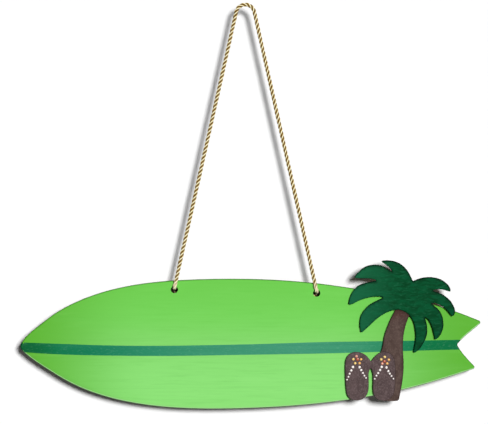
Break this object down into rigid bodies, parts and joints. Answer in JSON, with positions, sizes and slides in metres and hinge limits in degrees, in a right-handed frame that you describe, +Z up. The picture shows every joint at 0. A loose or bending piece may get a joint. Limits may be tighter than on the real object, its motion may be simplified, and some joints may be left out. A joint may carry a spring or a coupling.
{
  "type": "hanging wall sign",
  "caption": "Flat wooden wall sign in the outline of a fork-tailed surfboard, with a glued-on palm tree and sandals, hung by a twisted cord.",
  "frame": {"origin": "underside of the cord at the top of its loop, where a nail carries it", "axes": "+Z up; +X along the board towards the forked tail; the painted face looks to -Y and the wall is on the +Y side"},
  "size_m": [0.5075, 0.0246, 0.4479],
  "materials": {
    "green_paint": "satin brushed paint on wood",
    "stripe_paint": "satin paint",
    "crown_paint": "satin brushed paint on wood",
    "brown_paint": "matte paint on wood",
    "glue": "dried glue",
    "white_drops": "gloss paint drop",
    "petal_drops": "gloss paint drop",
    "centre_drops": "gloss paint drop",
    "straw_cord": "twisted natural-look cord"
  },
  "bodies": {
    "upper_cord": {"cord_loop": "straw_cord"},
    "middle_cord": {"cord_middle_left": "straw_cord", "cord_middle_right": "straw_cord"},
    "lower_cord": {"cord_lower_left": "straw_cord", "cord_lower_right": "straw_cord"},
    "sign": {"board": "green_paint", "stringer_stripe": "stripe_paint", "palm_crown": "crown_paint", "palm_trunk": "brown_paint", "flip_flop_pair": "brown_paint", "crown_glue": "glue", "trunk_glue": "glue", "flip_flop_glue": "glue", "strap_dots_left": "white_drops", "strap_dots_right": "white_drops", "flower_petals_left": "petal_drops", "flower_petals_right": "petal_drops", "flower_centre_left": "centre_drops", "flower_centre_right": "centre_drops", "cord_end_left": "straw_cord", "cord_end_right": "straw_cord", "knot_left": "straw_cord", "knot_right": "straw_cord"}
  },
  "joints": [
    {"name": "cord_fold_upper", "type": "hinge", "parent": "upper_cord", "child": "middle_cord", "pos_m": [0, 0, -0.09], "axis": [-1, 0, 0], "range_deg": [0, 90]},
    {"name": "cord_fold_lower", "type": "hinge", "parent": "middle_cord", "child": "lower_cord", "pos_m": [0, 0, -0.175], "axis": [-1, 0, 0], "range_deg": [0, 90]},
    {"name": "board_tilt", "type": "hinge", "parent": "lower_cord", "child": "sign", "pos_m": [0.00028, 0, -0.31205], "axis": [-0.9997, 0, 0.0252], "range_deg": [0, 175]}
  ]
}
